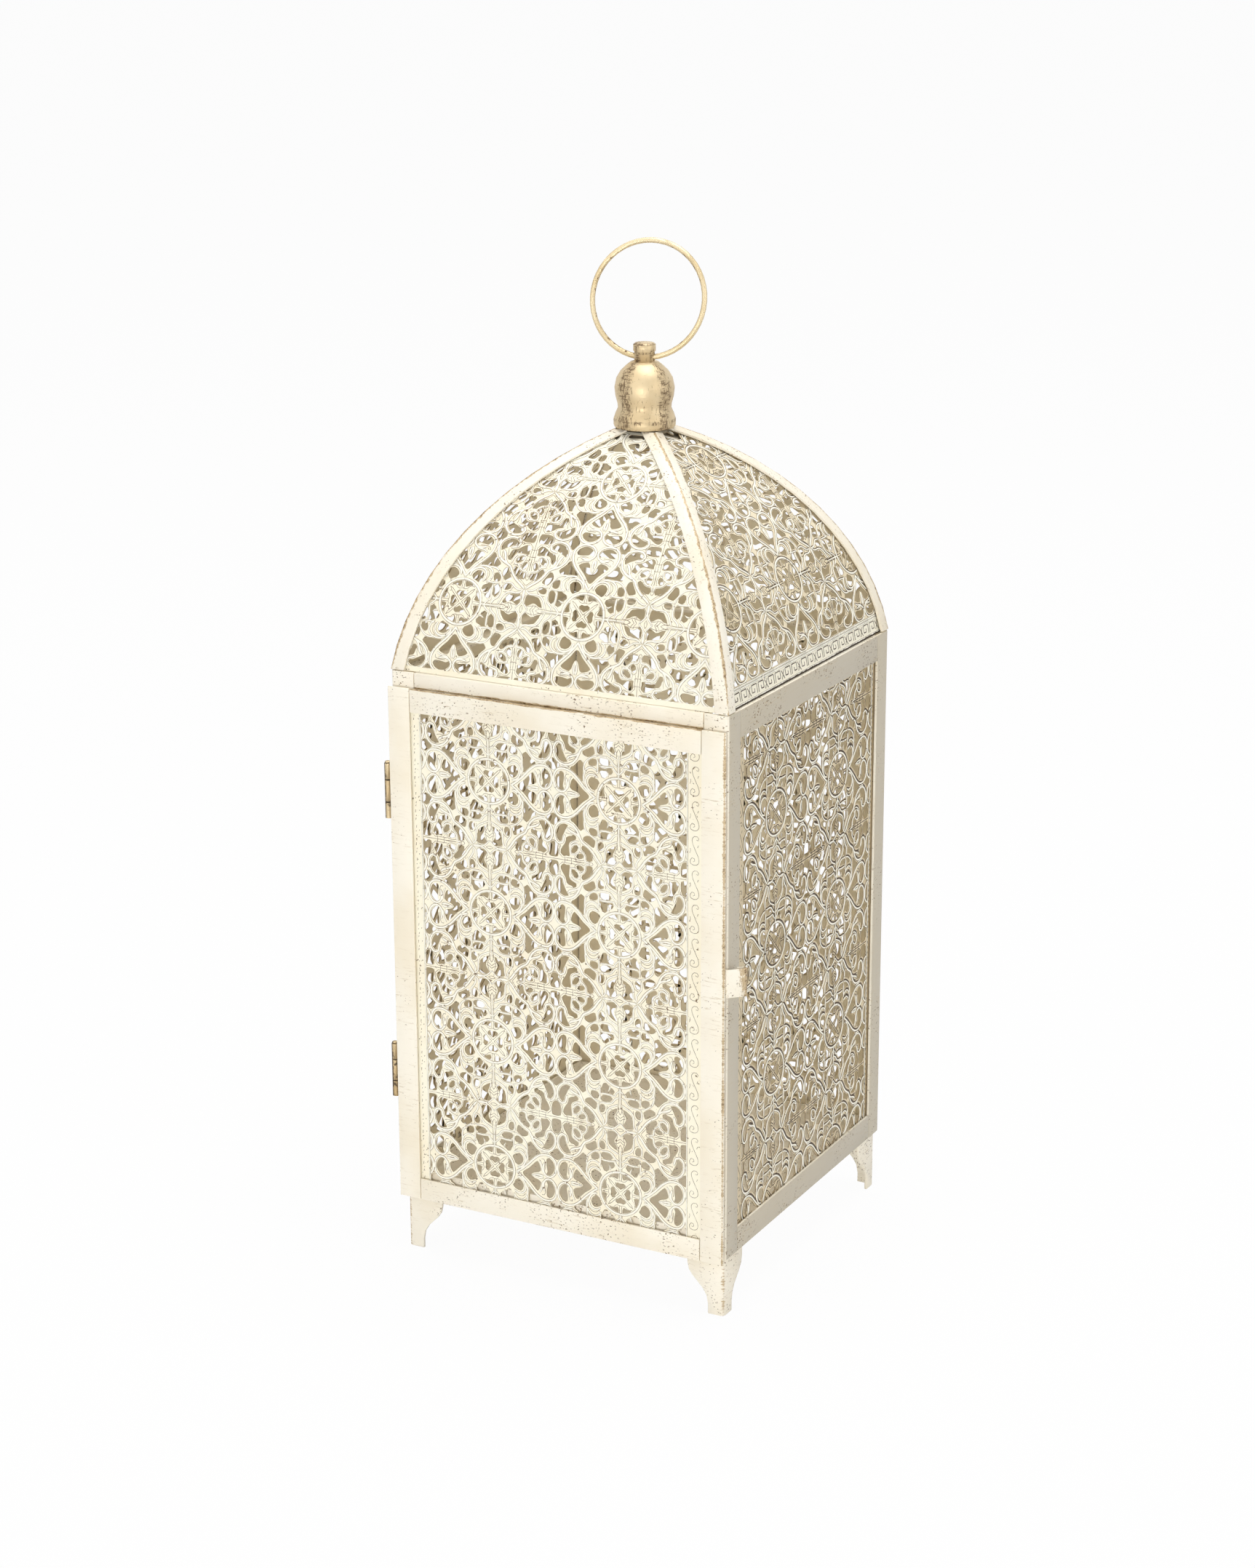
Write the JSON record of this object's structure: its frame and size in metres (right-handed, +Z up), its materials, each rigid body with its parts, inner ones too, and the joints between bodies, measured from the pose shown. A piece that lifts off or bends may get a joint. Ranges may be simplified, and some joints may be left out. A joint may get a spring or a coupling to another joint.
{
  "type": "lantern",
  "caption": "Square pierced metal lantern on four bent feet, with a hinged front door, a four sided domed roof and a ring on its finial.",
  "frame": {"origin": "on the floor under the middle of the square body, at the bottom of the feet", "axes": "+Z up, the door faces -Y and hinges on the -X side"},
  "size_m": [0.1594, 0.1526, 0.4155],
  "materials": {
    "cream_paint": "ivory paint, rubbed back to gold brown at the edges, with fine dark specks",
    "pierced_sheet": "ivory paint on pierced scrollwork, with brown wash in the creases",
    "gold_paint": "brushed pale gold with dark brown streaks",
    "bare_steel": "dull plated steel"
  },
  "bodies": {
    "lantern_body": {"body_hinge_lower": "gold_paint", "body_hinge_upper": "gold_paint", "bottom_rail_front": "cream_paint", "bottom_rail_left": "cream_paint", "bottom_rail_rear": "cream_paint", "bottom_rail_right": "cream_paint", "crown_nut": "bare_steel", "crown_plate": "bare_steel", "dome_panel_front": "pierced_sheet", "dome_panel_left": "pierced_sheet", "dome_panel_rear": "pierced_sheet", "dome_panel_right": "pierced_sheet", "finial_bell": "gold_paint", "finial_stud": "gold_paint", "floor_tray": "cream_paint", "foot_front_left": "cream_paint", "foot_front_right": "cream_paint", "foot_rear_left": "cream_paint", "foot_rear_right": "cream_paint", "hip_rib_front_left": "cream_paint", "hip_rib_front_right": "cream_paint", "hip_rib_rear_left": "cream_paint", "hip_rib_rear_right": "cream_paint", "post_front_left": "cream_paint", "post_front_right": "cream_paint", "post_rear_left": "cream_paint", "post_rear_right": "cream_paint", "side_panel_left": "pierced_sheet", "side_panel_rear": "pierced_sheet", "side_panel_right": "pierced_sheet", "top_rail_front": "cream_paint", "top_rail_left": "cream_paint", "top_rail_rear": "cream_paint", "top_rail_right": "cream_paint"},
    "door": {"door_stile_left": "cream_paint", "door_stile_right": "cream_paint", "door_rail_top": "cream_paint", "door_rail_bottom": "cream_paint", "door_panel": "pierced_sheet", "door_latch": "cream_paint", "door_hinge_upper": "gold_paint", "door_hinge_lower": "gold_paint", "hinge_pin_upper": "gold_paint", "hinge_pin_lower": "gold_paint"},
    "ring": {"hanging_ring": "gold_paint"}
  },
  "joints": [
    {"name": "door_hinge", "type": "hinge", "parent": "lantern_body", "child": "door", "pos_m": [-0.07675, -0.0761, 0.13975], "axis": [0, 0, -1], "range_deg": [0, 180]},
    {"name": "ring_swing", "type": "hinge", "parent": "lantern_body", "child": "ring", "pos_m": [0, 0, 0.3697], "axis": [0.981, 0.1942, 0], "range_deg": [-126, 153]}
  ]
}
